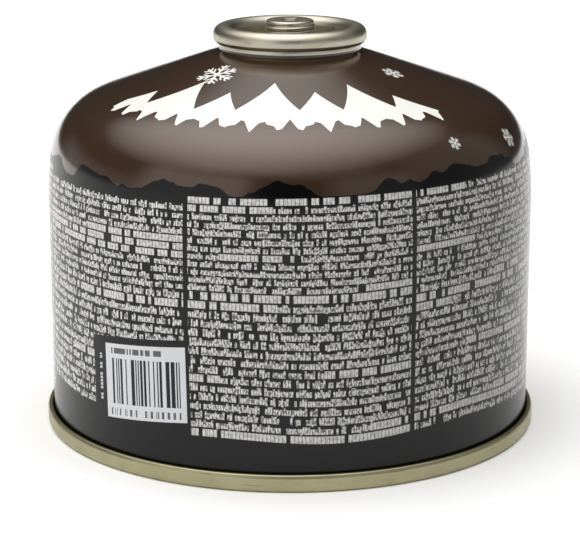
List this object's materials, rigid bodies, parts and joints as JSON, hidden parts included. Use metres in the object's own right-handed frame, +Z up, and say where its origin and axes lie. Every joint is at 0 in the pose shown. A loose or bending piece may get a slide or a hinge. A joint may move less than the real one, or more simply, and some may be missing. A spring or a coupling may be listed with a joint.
{
  "type": "fuel canister",
  "caption": "Low round sealed steel fuel canister with a rounded shoulder, seamed bottom ring, clinched valve cup, threaded tower and spring-loaded valve stem.",
  "frame": {"origin": "centre of the seam ring that the canister stands on, in the plane of its underside", "axes": "+Z up along the canister's axis; +Y away from the side that the picture shows, +X to its right"},
  "size_m": [0.11, 0.11, 0.0898],
  "materials": {
    "lacquered_steel": "gloss brown and black print over drawn steel",
    "gold_tinplate": "bright, gold lacquered tinplate",
    "pale_tinplate": "bright tinplate",
    "black_rubber": "matt moulded",
    "pale_plastic": "satin moulded",
    "spring_steel": "drawn wire"
  },
  "bodies": {
    "canister": {"can_body": "lacquered_steel", "base_end": "gold_tinplate", "valve_cup": "pale_tinplate", "cup_gasket": "black_rubber", "stem_seal": "black_rubber", "valve_spring": "spring_steel", "valve_housing": "pale_plastic"},
    "stem": {"valve_stem": "pale_plastic"}
  },
  "joints": [
    {"name": "stem_press", "type": "slide", "parent": "canister", "child": "stem", "axis": [0, 0, 1], "range_m": [-0.0015, 0], "stiffness_N_per_m": 1000, "springref_m": 0.002, "deforming": ["valve_spring"]}
  ]
}
